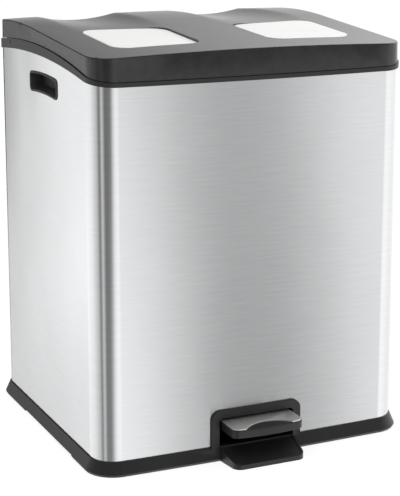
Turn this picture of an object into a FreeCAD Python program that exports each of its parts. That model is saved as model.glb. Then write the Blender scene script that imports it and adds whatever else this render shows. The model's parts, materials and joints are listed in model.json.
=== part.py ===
import FreeCAD, Part
import math
import os

# A free-standing pedal bin for sorted waste: a brushed steel body on a black
# moulded base, a hinged lid with two inset panels, two lift-out buckets, and
# a pedal that opens the lid through a lever, a push rod and a crank.
#
# X runs to the right seen from the front, Y towards the back, Z up.
# Every piece is drawn about the middle of the body's plan, on the floor, and
# is then moved along Y so that the origin is under the middle of the whole bin.

V = FreeCAD.Vector
across = V(1, 0, 0)
along = V(0, 1, 0)
upward = V(0, 0, 1)

# ---------------------------------------------------------------- body plan
body_width = 490.0
body_depth = 430.0
corner_radius = 36.0
front_bow = 4.3
steel = 0.6
moulding = 3.0
fit_gap = 0.1
rest_gap = 0.3
play = 0.05
margin = 20.0
overhead = 90.0
near = 0.01
pick = 1.0

# ---------------------------------------------------------------- base tray
base_height = 21.0
base_lip = 1.8
skirt_flare = 9.4
skirt_toe = 4.0
skirt_toe_inset = 2.5
skirt_raise = 5.0
raise_front_inset = 90.0
raise_back_inset = 120.0
base_floor_z = 5.2
shell_seat_z = 10.0
upstand_height = 34.0
foot_radius = 12.0
foot_inset = 48.0
lap_half_width = 9.0
lap_start = 1.0

# ---------------------------------------------------------------- pedal bay
bay_half_width = 60.5
bay_top_z = 63.0
bay_frame = 12.5
bay_corner = 15.0
bay_inner_corner = 6.0
bay_proud = 3.6
bay_depth = 24.0
bay_root = 12.0
bay_flange_inset = 8.0
bay_rim_radius = 1.2
notch_margin = 6.0
apron_reach = 51.3
apron_half_width = 62.0
apron_taper = 6.0
apron_corner = 13.0
apron_lip_z = 7.0
apron_border = 3.2
apron_pan_drop = 1.2
apron_root = 6.0

# ---------------------------------------------------------------- collar and lid
collar_proud = 2.0
collar_front_z = 555.0
collar_peak_z = 577.3
collar_peak_y = 35.0
seam_front_z = 561.0
seam_peak_z = 592.0
seam_peak_y = 50.0
seam_gap = 0.5
collar_wall = 2.0
collar_cap = 2.4
ledge_gap = 1.0
ledge_thickness = 3.0
ledge_bar = 16.0
ledge_width = 23.0
ledge_root = 0.5
clip_slot_y = 138.5
clip_slot_z = 583.5
clip_slot_height = 6.3
clip_slot_width = 2.0
clip_slot_depth = 1.2

lid_proud = 0.3
lid_draft = 1.0
lid_stock = 30.0
lid_front_rise = 31.0
lid_crown = 7.5
ramp_end_y = 40.0
ramp_end_rise = 21.0
ramp_crown = 1.8
lid_back_rise = 18.0
lid_back_crown = 3.5
lid_edge_radius = 1.6

panel_inner_x = 54.5
panel_length = 150.0
panel_outer_inset = 55.5
panel_front_inset = 63.3
panel_corner = 25.0
panel_thickness = 3.0
panel_front_drop = 1.6
panel_back_drop = 0.8
panel_tilt = 1.0
panel_edge_radius = 0.8
panel_gap = 0.5

dip_sag = 7.6
dip_shallow = 1.6
dip_lead_in = 70.0
dip_back_inner_x = 45.0
dip_back_outer_inset = 67.0
dip_side_run = 10.0
dip_back_run = 8.0

liner_drop = 6.0
liner_slope = 1.6
liner_thickness = 2.0
liner_boss_radius = 6.0
liner_boss_inset = 46.0
liner_back_gap = 2.0
liner_screw_length = 11.0

# ---------------------------------------------------------------- hinge
hinge_set_in = 2.0
hinge_drop = 0.3
hinge_inset = 95.0
knuckle_radius = 5.5
knuckle_length = 19.0
lid_knuckle_length = 12.0
knuckle_gap = 0.5
hinge_pin_radius = 2.5
lid_open_angle = 78.0
hinge_bore_reach = 40.0
knuckle_root = 14.0
rear_drop = 2.6
rear_reach = 5.0

# ---------------------------------------------------------------- lever train
crank_radius = 19.0
crank_width = 8.0
crank_pin_radius = 2.5
crank_eye_wall = 3.0
crank_neck = 4.0
crank_root = 9.0
crank_back_inset = 1.0
crank_flange_half = 22.0
crank_flange_thickness = 3.0
crank_screw_x = 16.0
crank_screw_length = 8.0
yoke_gap = 0.5
yoke_cheek = 4.0
yoke_wall = 3.0
yoke_base = 5.5
yoke_floor_gap = 1.0
rod_radius = 3.0
rod_socket = 3.0
rod_slot_play = 0.6
foot_half = 9.0
foot_slot_shift = 3.0
foot_low_wall = 4.0
foot_high_wall = 5.0
bush_wall = 2.5
bush_flange = 2.0
bush_flange_height = 1.5
axle_y = -20.0
axle_drop = 1.0
lever_z = 51.0
lever_width = 30.0
lever_height = 10.0
lever_wall = 2.0
lever_nose_gap = 6.0
lever_side_gap = 1.0
lever_ear_length = 14.0
axle_radius = 4.0
lever_pin_radius = 3.0
bracket_gap = 1.0
bracket_width = 10.0
bracket_half_depth = 9.0
bracket_foot = 14.0
bracket_foot_height = 4.0
bracket_screw_length = 7.0
rivet_x = 8.0
rivet_set_out = 14.0

pedal_half_width = 57.0
pedal_back_inset = 4.0
pedal_reach = 48.5
pedal_bulge = 5.0
pedal_corner = 12.0
pedal_top_z = 57.6
pedal_depth = 12.6
pedal_wall = 3.0
pedal_edge_radius = 1.5
pedal_mouth_reach = 10.0
plate_thickness = 1.6
plate_arc_depth = 21.0
plate_arc_half = 39.0
plate_side_inset = 1.0
plate_edge_radius = 0.6

# ---------------------------------------------------------------- deck and buckets
deck_z = 86.0
deck_thickness = 2.5
deck_margin = 3.0
post_radius = 8.0
post_inset = 62.0
deck_screw_length = 14.0
screw_radius = 2.0
screw_head_radius = 4.0
screw_head = 2.0

duct_width = 56.0
duct_wall = 2.0
duct_gap = 2.0

bucket_wall = 2.2
bucket_floor_z = 92.0
bucket_taper = 9.0
bucket_corner = 28.0
bucket_rim = 6.0
bucket_rim_thickness = 2.4
bucket_gap = 2.0
bucket_slack = 1.3
bail_radius = 2.0
bail_reach = 130.0
bail_pivot_y = -10.0
bail_rise = 6.0
bail_bend = 14.0
bail_small_bend = 4.0
ear_half = 2.0
ear_half_depth = 6.0
ear_over = 5.0
ear_inset = 1.5
grip_radius = 5.0
grip_length = 90.0
grip_edge_radius = 1.5

# ---------------------------------------------------------------- side handles
handle_y = -9.0
handle_drop = 19.5
handle_length = 120.0
handle_height = 31.0
handle_arch = 3.0
handle_corner = 8.5
handle_least_corner = 2.5
handle_bezel = 3.2
handle_lap = 1.0
handle_proud = 1.3
handle_recess = 19.0
handle_wall = 1.6
handle_floor_rise = 7.0
handle_ramp_stock = 6.0
handle_ramp_lip = 1.0
handle_edge_radius = 0.8


# ---------------------------------------------------------------- helpers
def box(x0, x1, y0, y1, z0, z1):
    return Part.makeBox(x1 - x0, y1 - y0, z1 - z0, V(x0, y0, z0))


def rod_x(radius, x0, x1, y, z):
    return Part.makeCylinder(radius, x1 - x0, V(x0, y, z), V(1, 0, 0))


def rod_z(radius, x, y, z0, z1):
    return Part.makeCylinder(radius, z1 - z0, V(x, y, z0), V(0, 0, 1))


def wedge_face(points):
    return Part.Face(Part.makePolygon(points + points[:1]))


def side_prism(edges, x0, x1):
    """A closed outline in the YZ plane, carried from x0 to x1."""
    wire = Part.Wire(edges)
    wire.translate(V(x0, 0, 0))
    return Part.Face(wire).extrude(V(x1 - x0, 0, 0))


def line(a, b):
    return Part.LineSegment(a, b).toShape()


def arc(a, m, b):
    return Part.Arc(a, m, b).toShape()


def edges_along(shape, axis):
    """The edges of a shape that run along an axis."""
    return [e for e in shape.Edges if abs(e.tangentAt(e.FirstParameter).dot(axis)) > 0.9]


def mirror_x(shape):
    return shape.mirror(V(0, 0, 0), V(1, 0, 0))


def both_sides(shape):
    return shape.fuse(mirror_x(shape))


def rounded_plan(x0, x1, y0, y1, radius, z):
    """A rounded rectangle as a face at height z."""
    plate = box(x0, x1, y0, y1, z, z + 1.0)
    plate = plate.makeFillet(radius, edges_along(plate, upward))
    return min(plate.Faces, key=lambda f: f.CenterOfMass.z)


def rounded_block(x0, x1, y0, y1, radius, z0, z1):
    return rounded_plan(x0, x1, y0, y1, radius, z0).extrude(V(0, 0, z1 - z0))


# ---------------------------------------------------------------- the body's outline
# Straight sides and back, four round corners, and a front that is one shallow
# arc, tangent to its corners.
half_width = body_width / 2
half_depth = body_depth / 2
bow_radius = (half_width ** 2 + front_bow ** 2) / (2 * front_bow)
bow_centre_y = -half_depth - front_bow + bow_radius
corner_x = half_width - corner_radius
front_corner_y = bow_centre_y - math.sqrt((bow_radius - corner_radius) ** 2 - corner_x ** 2)
back_corner_y = half_depth - corner_radius
front_y = -half_depth - front_bow


def outline(offset, z):
    """The body's plan, moved outward by offset, as a wire at height z."""
    radius = corner_radius + offset
    side = half_width + offset
    back = half_depth + offset
    bow = bow_radius + offset
    reach = math.hypot(corner_x, front_corner_y - bow_centre_y)
    out_x = corner_x / reach
    out_y = (front_corner_y - bow_centre_y) / reach
    diagonal = radius * math.sqrt(0.5)
    middle = math.hypot(out_x + 1.0, out_y)
    front_mid = V(corner_x + radius * (out_x + 1.0) / middle, front_corner_y + radius * out_y / middle, z)
    front_end = V(corner_x + radius * out_x, front_corner_y + radius * out_y, z)
    side_low = V(side, front_corner_y, z)
    side_high = V(side, back_corner_y, z)
    back_mid = V(corner_x + diagonal, back_corner_y + diagonal, z)
    back_end = V(corner_x, back, z)

    def left(p):
        return V(-p.x, p.y, p.z)

    return Part.Wire([
        arc(left(front_end), V(0, bow_centre_y - bow, z), front_end),
        arc(front_end, front_mid, side_low),
        line(side_low, side_high),
        arc(side_high, back_mid, back_end),
        line(back_end, left(back_end)),
        arc(left(back_end), left(back_mid), left(side_high)),
        line(left(side_high), left(side_low)),
        arc(left(side_low), left(front_mid), left(front_end)),
    ])


def plan_block(offset, z0, z1):
    return Part.Face(outline(offset, z0)).extrude(V(0, 0, z1 - z0))


def plan_taper(offset0, z0, offset1, z1):
    return Part.makeLoft([outline(offset0, z0), outline(offset1, z1)], True, True)


def plan_ring(outer, inner, z0, z1):
    return plan_block(outer, z0, z1).cut(plan_block(inner, z0, z1))


# ---------------------------------------------------------------- curves seen from the side
wide = half_width + skirt_flare + margin
far_y = half_depth + skirt_flare + margin
lid_front_z = seam_front_z + lid_front_rise
ramp_end_z = seam_peak_z + ramp_end_rise
lid_back_z = seam_peak_z + lid_back_rise
liner_front_z = lid_front_z - liner_drop
high_z = lid_back_z + overhead
handle_z = collar_front_z - handle_drop


def arch_z(front_z, peak_z, peak_y, y):
    """Height at y of the arch from the front's height up to its peak."""
    return peak_z - (peak_z - front_z) * ((y - peak_y) / (front_y - peak_y)) ** 2


def below_arch(front_z, peak_z, peak_y, floor_z):
    """All that lies under an arched line, from front to back."""
    a = V(0, -far_y, arch_z(front_z, peak_z, peak_y, -far_y))
    b = V(0, far_y, arch_z(front_z, peak_z, peak_y, far_y))
    m = V(0, 0, arch_z(front_z, peak_z, peak_y, 0))
    low_a = V(0, -far_y, floor_z)
    low_b = V(0, far_y, floor_z)
    return side_prism([line(low_a, a), arc(a, m, b), line(b, low_b), line(low_b, low_a)], -wide, wide)


def under_collar_edge(lift):
    return below_arch(collar_front_z + lift, collar_peak_z + lift, collar_peak_y, 0.0)


def under_seam(lift):
    return below_arch(seam_front_z + lift, seam_peak_z + lift, seam_peak_y, 0.0)


# ---------------------------------------------------------------- shared places
hinge_x = half_width - hinge_inset
hinge_y = half_depth - hinge_set_in
hinge_z = arch_z(seam_front_z, seam_peak_z, seam_peak_y, hinge_y) + hinge_drop
half_open = math.radians(lid_open_angle / 2)
crank_pin_y = hinge_y - crank_radius * math.cos(half_open)
crank_pin_z = hinge_z - crank_radius * math.sin(half_open)
crank_swing = crank_radius * (1.0 - math.cos(half_open))
rod_travel = 2.0 * crank_radius * math.sin(half_open)
rod_y = crank_pin_y - crank_swing / 2
pedal_angle = math.degrees(rod_travel / (rod_y - axle_y))
yoke_base_z = crank_pin_z - crank_pin_radius - crank_eye_wall - yoke_base
ledge_top_z = yoke_base_z - ledge_gap
ledge_z = ledge_top_z - ledge_thickness
collar_inside = -(steel + fit_gap + collar_wall)
duct_back_y = half_depth - steel - fit_gap - duct_gap
duct_front_y = rod_y - (duct_back_y - rod_y)
deck_top_z = deck_z + deck_thickness
bucket_back_y = duct_front_y - bucket_gap
bucket_front_y = front_y + ledge_width - collar_inside
bucket_outer_x = half_width - ledge_width
bucket_inner_x = ledge_bar / 2


# ---------------------------------------------------------------- base
def make_base_tray():
    """Black moulding: flared skirt, shell seat, deck posts, pedal surround and apron."""
    skirt = plan_taper(skirt_flare - skirt_toe_inset, 0.0, skirt_flare, skirt_toe)
    skirt = skirt.fuse(plan_taper(skirt_flare, skirt_toe, base_lip, base_height))
    hollow_top = plan_block(-steel - fit_gap - moulding, base_floor_z + moulding, base_height)
    hollow_under = plan_block(-steel - fit_gap - moulding, 0.0, base_floor_z)
    channel_edge = skirt_flare - skirt_toe_inset - moulding
    channel = plan_ring(channel_edge, -steel - fit_gap, 0.0, shell_seat_z - moulding)
    seat = plan_ring(fit_gap, -steel - fit_gap, shell_seat_z, base_height)
    tray = skirt.cut([hollow_top, hollow_under, channel, seat])
    upstand = plan_ring(-steel - fit_gap, -steel - fit_gap - moulding, base_height, upstand_height)
    tray = tray.fuse(upstand)
    raise_y0 = -half_depth + raise_front_inset
    raise_y1 = half_depth - raise_back_inset
    side_cut = box(half_width - moulding, wide, raise_y0, raise_y1, 0.0, skirt_raise)
    tray = tray.cut(both_sides(side_cut))
    posts = []
    for x in (-half_width + post_inset, half_width - post_inset):
        for y in (-half_depth + post_inset, half_depth - post_inset):
            posts.append(rod_z(post_radius, x, y, base_floor_z + moulding / 2, deck_z))
    tray = tray.fuse(posts)
    bores = []
    for x in (-half_width + post_inset, half_width - post_inset):
        for y in (-half_depth + post_inset, half_depth - post_inset):
            bores.append(rod_z(screw_radius + play, x, y, deck_z - deck_screw_length, deck_z))
    for x in (-bracket_screw_x(), bracket_screw_x()):
        bores.append(rod_z(screw_radius + play, x, axle_y, 0.0, bracket_floor_z()))
    tray = tray.cut(bores)

    # The bay behind the pedal is open at the front and closed by a frame.
    tray = tray.fuse([make_bay_frame(), make_apron()])
    mouth = box(-bay_half_width, bay_half_width, front_y - wide, front_y + bay_depth, base_height, bay_top_z)
    mouth_edges = [e for e in edges_along(mouth, along) if e.CenterOfMass.z > base_height + pick]
    tray = tray.cut(mouth.makeFillet(bay_inner_corner, mouth_edges))
    return tray.removeSplitter()


def make_bay_frame():
    """Arched frame round the pedal opening, a little proud of the steel."""
    outer = bay_half_width + bay_frame
    inner = outer - bay_flange_inset
    low = base_height - bay_root
    high = bay_top_z + bay_frame
    block = box(-outer, outer, front_y - wide, front_y + bay_flange_inset, low, high)
    tops = [e for e in edges_along(block, along) if e.CenterOfMass.z > bay_top_z]
    block = block.makeFillet(bay_corner, tops)
    frame = block.common(plan_ring(bay_proud, fit_gap, low, high))
    flange = box(-inner, inner, front_y - wide, front_y + 2 * bay_flange_inset, low, high - bay_flange_inset)
    flange = flange.common(plan_ring(fit_gap, -steel - fit_gap - moulding, low, high))
    rims = [e for e in frame.Edges if e.BoundBox.YMax < front_y + pick and e.BoundBox.ZMax > bay_top_z + pick]
    frame = frame.makeFillet(bay_rim_radius, [e for e in rims if is_outer_rim(e)])
    return frame.fuse(flange)


def is_outer_rim(edge):
    """True for the front rim of the bay frame's raised face."""
    mid = edge.valueAt((edge.FirstParameter + edge.LastParameter) / 2)
    reach = math.hypot(mid.x, mid.y - bow_centre_y)
    return abs(reach - (bow_radius + bay_proud)) < near


def make_apron():
    """Toe apron on the floor in front of the pedal, with a sunk sloping pan."""
    back = front_y + apron_root
    nose = front_y - apron_reach
    narrow = apron_half_width - apron_taper
    plan = Part.makePolygon([V(-apron_half_width, back, 0), V(apron_half_width, back, 0),
                             V(narrow, nose, 0), V(-narrow, nose, 0), V(-apron_half_width, back, 0)])
    block = Part.Face(plan).extrude(V(0, 0, base_height))
    upright = [e for e in edges_along(block, upward) if e.CenterOfMass.y < front_y]
    block = block.makeFillet(apron_corner, upright)
    rear_top = V(0, front_y, base_height)
    slope = (base_height - apron_lip_z) / apron_reach
    far = V(0, nose - margin, apron_lip_z - margin * slope)
    far_top = V(0, far.y, bay_top_z)
    rear_roof = V(0, front_y, bay_top_z)
    over = side_prism([line(rear_top, far), line(far, far_top), line(far_top, rear_roof),
                       line(rear_roof, rear_top)], -wide, wide)
    block = block.cut(over)
    pan_plan = Part.makePolygon([
        V(-apron_half_width + apron_border, front_y, 0), V(apron_half_width - apron_border, front_y, 0),
        V(narrow - apron_border, nose + apron_border, 0), V(-narrow + apron_border, nose + apron_border, 0),
        V(-apron_half_width + apron_border, front_y, 0)])
    pan = Part.Face(pan_plan).extrude(V(0, 0, base_height))
    upright = [e for e in edges_along(pan, upward) if e.CenterOfMass.y < front_y - apron_border]
    pan = pan.makeFillet(apron_corner - apron_border, upright)
    sunk = over.copy()
    sunk.translate(V(0, 0, -apron_pan_drop))
    return block.cut(pan.common(sunk))


def make_feet():
    """Rubber pads under the four corners of the tray."""
    pads = []
    for x in (-half_width + foot_inset, half_width - foot_inset):
        for y in (-half_depth + foot_inset, half_depth - foot_inset):
            pads.append(rod_z(foot_radius, x, y, 0.0, base_floor_z))
    return Part.makeCompound(pads)


# ---------------------------------------------------------------- body shell
def handle_outline(inset):
    """Rounded outline of the side grip, arched along its top and bottom edges."""
    y0 = handle_y - handle_length / 2 + inset
    y1 = handle_y + handle_length / 2 - inset
    low = handle_z - handle_height / 2 - handle_arch / 2 + inset
    high = handle_z + handle_height / 2 - handle_arch / 2 - inset
    lift = handle_arch
    block = side_prism([
        arc(V(0, y0, low), V(0, handle_y, low + lift), V(0, y1, low)),
        line(V(0, y1, low), V(0, y1, high)),
        arc(V(0, y1, high), V(0, handle_y, high + lift), V(0, y0, high)),
        line(V(0, y0, high), V(0, y0, low)),
    ], half_width - 2 * handle_recess, half_width + 2 * handle_recess)
    corners = edges_along(block, across)
    return block.makeFillet(max(handle_corner - inset, handle_least_corner), corners)


def make_body_sheets():
    """Brushed steel wrap: front, right-hand side in two sheets, and back, welded edge to edge.

    The upright welds are where the flat sides run into the round corners, and
    the back's two halves lap down its middle. A level weld runs along each
    side at the grip's lower edge, so that the grip is cut as an open notch.
    """
    wrap = plan_ring(0.0, -steel, shell_seat_z + play, seam_peak_z)
    wrap = wrap.common(under_collar_edge(collar_cap))
    lap = box(-lap_half_width, lap_half_width, half_depth - steel / 2, half_depth + steel,
              base_height + lap_start, collar_front_z)
    notch_half = bay_half_width + notch_margin
    notch = box(-notch_half, notch_half, front_y - wide, 0.0, 0.0, bay_top_z + notch_margin)
    opening = handle_outline(handle_bezel - handle_lap)
    wrap = wrap.fuse(lap).cut([notch, both_sides(opening)]).removeSplitter()
    front = wrap.common(box(-wide, wide, -far_y, front_corner_y, 0.0, high_z))
    weld_z = handle_z - handle_height / 2 + handle_arch
    lower = wrap.common(box(0.0, wide, front_corner_y, back_corner_y, 0.0, weld_z))
    upper = wrap.common(box(0.0, wide, front_corner_y, back_corner_y, weld_z, high_z))
    back = wrap.common(box(-wide, wide, back_corner_y, far_y, 0.0, high_z))
    return front, lower, upper, back


# ---------------------------------------------------------------- side handles
def make_handle_cup():
    """Right-hand grip: a bezel on the steel and a hollow cup behind it."""
    x_face = half_width + handle_proud
    bezel = handle_outline(0.0).common(box(half_width, x_face, -far_y, far_y, 0, high_z))
    rim = [e for e in bezel.Edges if abs(e.BoundBox.Center.x - x_face) < near]
    bezel = bezel.makeFillet(handle_edge_radius, rim)
    body = handle_outline(handle_bezel - handle_lap + fit_gap)
    cup_back = half_width - handle_recess - handle_wall
    body = body.common(box(cup_back, half_width + handle_proud / 2, -far_y, far_y, 0, high_z))
    hollow = handle_outline(handle_bezel)
    hollow = hollow.common(box(half_width - handle_recess, x_face + margin, -far_y, far_y, 0, high_z))
    low = handle_z - handle_height / 2
    ramp = side_ramp(half_width - handle_recess, half_width, low, low + handle_floor_rise)
    return bezel.fuse(body).cut(hollow.cut(ramp)).removeSplitter()


def side_ramp(x_in, x_out, z_out, z_in):
    """The cup's sloping floor, higher at the back of the cup than at its mouth."""
    y0 = handle_y - handle_length / 2
    base = z_out - handle_ramp_stock
    profile = wedge_face([V(x_in, y0, base), V(x_out, y0, base), V(x_out, y0, z_out + handle_ramp_lip),
                          V(x_in, y0, z_in)])
    return profile.extrude(V(0, handle_length, 0))


# ---------------------------------------------------------------- collar
def bucket_mouths(z0, z1):
    """The space of both openings in the collar's ledge."""
    right = rounded_block(bucket_inner_x, bucket_outer_x, bucket_front_y, bucket_back_y, bucket_corner, z0, z1)
    return right, mirror_x(right)


def make_collar():
    """Black moulded band on the shell's top edge, with the ledge that carries the buckets."""
    top = seam_peak_z + margin
    band = plan_ring(collar_proud, collar_inside, ledge_z, top)
    band = band.common(under_seam(0.0))
    outside = plan_ring(wide - half_width, -steel - fit_gap, 0.0, top)
    band = band.cut(outside.common(under_collar_edge(0.0)))
    slot = plan_ring(fit_gap, -steel - fit_gap, 0.0, top)
    band = band.cut(slot.common(under_collar_edge(collar_cap + fit_gap)))
    clip_slot = box(half_width + collar_proud - clip_slot_depth, wide,
                    clip_slot_y - clip_slot_width / 2, clip_slot_y + clip_slot_width / 2,
                    clip_slot_z - clip_slot_height / 2, clip_slot_z + clip_slot_height / 2)
    band = band.cut(both_sides(clip_slot))
    ledge = plan_block(collar_inside + ledge_root, ledge_z, ledge_top_z)
    ledge = ledge.cut(list(bucket_mouths(ledge_z, ledge_top_z)))
    rod_hole = rod_z(bush_radius() + play, 0, rod_y, ledge_z, ledge_top_z)
    collar = band.fuse(ledge.cut(rod_hole))
    # The rear edge is cut down so that the lid's back can turn over it.
    turning_back = math.hypot(half_depth + lid_proud - hinge_y, rear_drop) + seam_gap
    turning_front = math.hypot(rear_reach, rear_drop) + rest_gap
    collar = collar.cut(box(-wide, wide, hinge_y - turning_front, far_y, hinge_z - turning_back, top))
    knuckles = []
    clearances = []
    for sign in (-1, 1):
        mid = sign * hinge_x
        left = mid - knuckle_length / 2
        right = mid + knuckle_length / 2
        knuckles.append(rod_x(knuckle_radius, left, right, hinge_y, hinge_z))
        knuckles.append(box(left, right, hinge_y - knuckle_radius, half_depth + collar_proud,
                            hinge_z - knuckle_root, hinge_z))
        for x0, x1 in lid_knuckle_spans(mid):
            clearances.append(rod_x(knuckle_radius + knuckle_gap, x0 - knuckle_gap, x1 + knuckle_gap,
                                    hinge_y, hinge_z))
    shell_top = plan_block(fit_gap, 0.0, top).common(under_collar_edge(collar_cap + fit_gap))
    collar = collar.fuse([k.cut(shell_top) for k in knuckles]).cut(clearances)
    return collar.cut(hinge_bores()).removeSplitter()


def bush_radius():
    return rod_radius + bush_wall


def hinge_bores():
    """Bores for both hinge pins, right through their knuckles."""
    return [rod_x(hinge_pin_radius + play, mid - hinge_bore_reach, mid + hinge_bore_reach, hinge_y, hinge_z)
            for mid in (-hinge_x, hinge_x)]


def lid_knuckle_spans(mid):
    """Where the lid's two knuckles lie, either side of the collar's one."""
    start = knuckle_length / 2 + knuckle_gap
    end = start + lid_knuckle_length
    return [(mid - end, mid - start), (mid + start, mid + end)]


# ---------------------------------------------------------------- lid
def lid_profile(x, crown, drop):
    """Side outline of the lid's top: a straight ramp, then a tangent arc to the back."""
    slope_rise = (ramp_end_z + crown * ramp_crown) - (lid_front_z + crown * lid_crown)
    slope = slope_rise / (ramp_end_y - front_y)
    front = V(x, -far_y, lid_front_z + crown * lid_crown - drop - slope * (far_y + front_y))
    turn = V(x, ramp_end_y, ramp_end_z + crown * ramp_crown - drop)
    run = half_depth - ramp_end_y
    back_z = lid_back_z + crown * lid_back_crown
    bend = (turn.z + drop + slope * run - back_z) / run ** 2
    run_far = far_y - ramp_end_y
    end = V(x, far_y, turn.z + slope * run_far - bend * run_far ** 2)
    mid = V(x, ramp_end_y + run_far / 2, turn.z + slope * run_far / 2 - bend * run_far ** 2 / 4)
    low_front = V(x, -far_y, ledge_z)
    low_back = V(x, far_y, ledge_z)
    return Part.Wire([line(low_front, front), line(front, turn), arc(turn, mid, end),
                      line(end, low_back), line(low_back, low_front)])


def under_lid_top(drop):
    """All that lies under the crowned top of the lid."""
    profiles = [lid_profile(-wide, 0.0, drop), lid_profile(0, 1.0, drop), lid_profile(wide, 0.0, drop)]
    return Part.makeLoft(profiles, True, False)


def land_z(x, y):
    """Height of the lid's top at a point of its plan."""
    crown = 1.0 - (x / wide) ** 2
    front = lid_front_z + crown * lid_crown
    turn = ramp_end_z + crown * ramp_crown
    slope = (turn - front) / (ramp_end_y - front_y)
    if y < ramp_end_y:
        return turn + slope * (y - ramp_end_y)
    run = half_depth - ramp_end_y
    bend = (turn + slope * run - lid_back_z - crown * lid_back_crown) / run ** 2
    step = y - ramp_end_y
    return turn + slope * step - bend * step ** 2


def dip_section(y, inner, outer, sag, drop):
    """Cross-section of one scooped well: a shallow arc between its two creases."""
    in_z = land_z(inner, y) - drop
    out_z = land_z(outer, y) - drop
    mid_x = (inner + outer) / 2
    mid_z = (in_z + out_z) / 2 - sag
    # The arc runs on past both creases, so that it meets the land cleanly.
    half = (outer - inner) / 2
    rise = sag * ((half + dip_side_run) / half) ** 2 - sag
    tilt = (out_z - in_z) / (outer - inner)
    left = V(inner - dip_side_run, y, in_z + rise - dip_side_run * tilt)
    right = V(outer + dip_side_run, y, out_z + rise + dip_side_run * tilt)
    roof = seam_peak_z + overhead
    return Part.Wire([arc(left, V(mid_x, y, mid_z), right), line(right, V(right.x, y, roof)),
                      line(V(right.x, y, roof), V(left.x, y, roof)), line(V(left.x, y, roof), left)])


def make_dip(drop):
    """The right-hand scoop, from under the panel to past the lid's back edge."""
    inner = panel_inner_x - panel_gap
    outer = panel_inner_x + panel_width + panel_gap
    stations = [
        (panel_back_y - dip_lead_in, inner, outer, dip_shallow / 2),
        (panel_back_y, inner, outer, dip_shallow),
        ((panel_back_y + half_depth) / 2, (inner + dip_back_inner_x) / 2, outer, dip_sag),
        (half_depth + dip_back_run, dip_back_inner_x, half_width - dip_back_outer_inset, dip_sag),
    ]
    return Part.makeLoft([dip_section(y, a, b, sag, drop) for y, a, b, sag in stations], True, False)


panel_width = half_width - panel_outer_inset - panel_inner_x
panel_front_y = front_y + panel_front_inset
panel_back_y = panel_front_y + panel_length
panel_mid_x = panel_inner_x + panel_width / 2
panel_front_z = land_z(panel_mid_x, panel_front_y) - panel_front_drop
panel_rise = land_z(panel_mid_x, panel_back_y) - panel_back_drop - panel_front_z
panel_slope = math.degrees(math.asin(panel_rise / panel_length))


def panel_block(grow, z_low, z_high):
    """A slab of the panel's plan, between two heights over the panel's plane."""
    slab = rounded_block(panel_inner_x - grow, panel_inner_x + panel_width + grow, panel_front_y - grow,
                         panel_front_y + panel_length + grow, panel_corner + grow, z_low, z_high)
    slab.translate(V(0, 0, panel_front_z))
    slab.rotate(V(0, panel_front_y, panel_front_z), V(1, 0, 0), panel_slope)
    slab.rotate(V(panel_mid_x, panel_front_y, panel_front_z), V(0, 1, 0), -panel_tilt)
    return slab


def liner_z(y):
    return liner_front_z + math.tan(math.radians(liner_slope)) * (y - front_y)


def liner_boss_places():
    reach = half_width - liner_boss_inset
    return [(x, y) for x in (-reach, 0.0, reach)
            for y in (front_y + liner_boss_inset, half_depth - liner_boss_inset)]


def top_rim(block):
    """The edges round the lid's top, where it meets the upright sides."""
    high = [e for e in block.Edges if e.BoundBox.ZMin > seam_front_z]
    level = [e for e in high if abs(e.tangentAt(e.FirstParameter).z) < 0.5]
    return [e for e in level if math.hypot(e.CenterOfMass.x, e.CenterOfMass.y) > half_depth / 2]


def make_lid_shell():
    """Dark moulding: crowned top, two scooped wells, pockets for the panels, and knuckles."""
    bottom = seam_front_z - lid_stock
    top = lid_back_z + lid_stock
    skin = plan_taper(lid_proud, bottom, lid_proud - lid_draft, top)
    skin = skin.common(under_lid_top(0.0))
    skin = skin.makeFillet(lid_edge_radius, top_rim(skin))
    dip = make_dip(0.0)
    skin = skin.cut([dip, mirror_x(dip)])
    pocket = panel_block(panel_gap, -panel_thickness, overhead)
    skin = skin.cut([pocket, mirror_x(pocket)])
    hollow = plan_taper(lid_proud - moulding, bottom, lid_proud - lid_draft - moulding, top)
    hollow = hollow.common(under_lid_top(moulding))
    low_dip = make_dip(moulding)
    thick = panel_block(panel_gap + moulding, -panel_thickness - moulding, overhead)
    hollow = hollow.cut([low_dip, mirror_x(low_dip), thick, mirror_x(thick)])
    shell = skin.cut(hollow)
    # The back wall reaches lower than the seam, into the collar's cut-down rear edge.
    rear_wall = box(-wide, wide, hinge_y - rear_reach, far_y, hinge_z - rear_drop, high_z)
    shell = shell.cut(under_seam(seam_gap).cut(rear_wall))
    # Knuckles at the back edge, and room for the collar's knuckles between them.
    barrels = []
    gaps = []
    for sign in (-1, 1):
        mid = sign * hinge_x
        for x0, x1 in lid_knuckle_spans(mid):
            barrels.append(rod_x(knuckle_radius, x0, x1, hinge_y, hinge_z))
            barrels.append(box(x0, x1, hinge_y - knuckle_radius, half_depth + lid_proud - lid_draft / 2,
                               hinge_z, hinge_z + knuckle_root))
        gaps.append(rod_x(knuckle_radius + knuckle_gap, mid - knuckle_length / 2 - knuckle_gap,
                          mid + knuckle_length / 2 + knuckle_gap, hinge_y, hinge_z))
    shell = shell.fuse(barrels).cut(gaps)
    shell = shell.cut(hinge_bores())
    bosses = []
    bores = []
    for x, y in liner_boss_places():
        low = liner_z(y)
        bosses.append(rod_z(liner_boss_radius, x, y, low, land_z(x, y) - moulding / 2))
        bores.append(rod_z(screw_radius + play, x, y, low, screw_tip_z(x, y) + rest_gap))
    roof = under_lid_top(moulding / 2)
    above_liner = liner_slab(liner_thickness, overhead, 0.0)
    bosses = [b.common(roof).common(above_liner) for b in bosses]
    shell = shell.fuse(bosses).cut(bores)
    return shell.removeSplitter()


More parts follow.
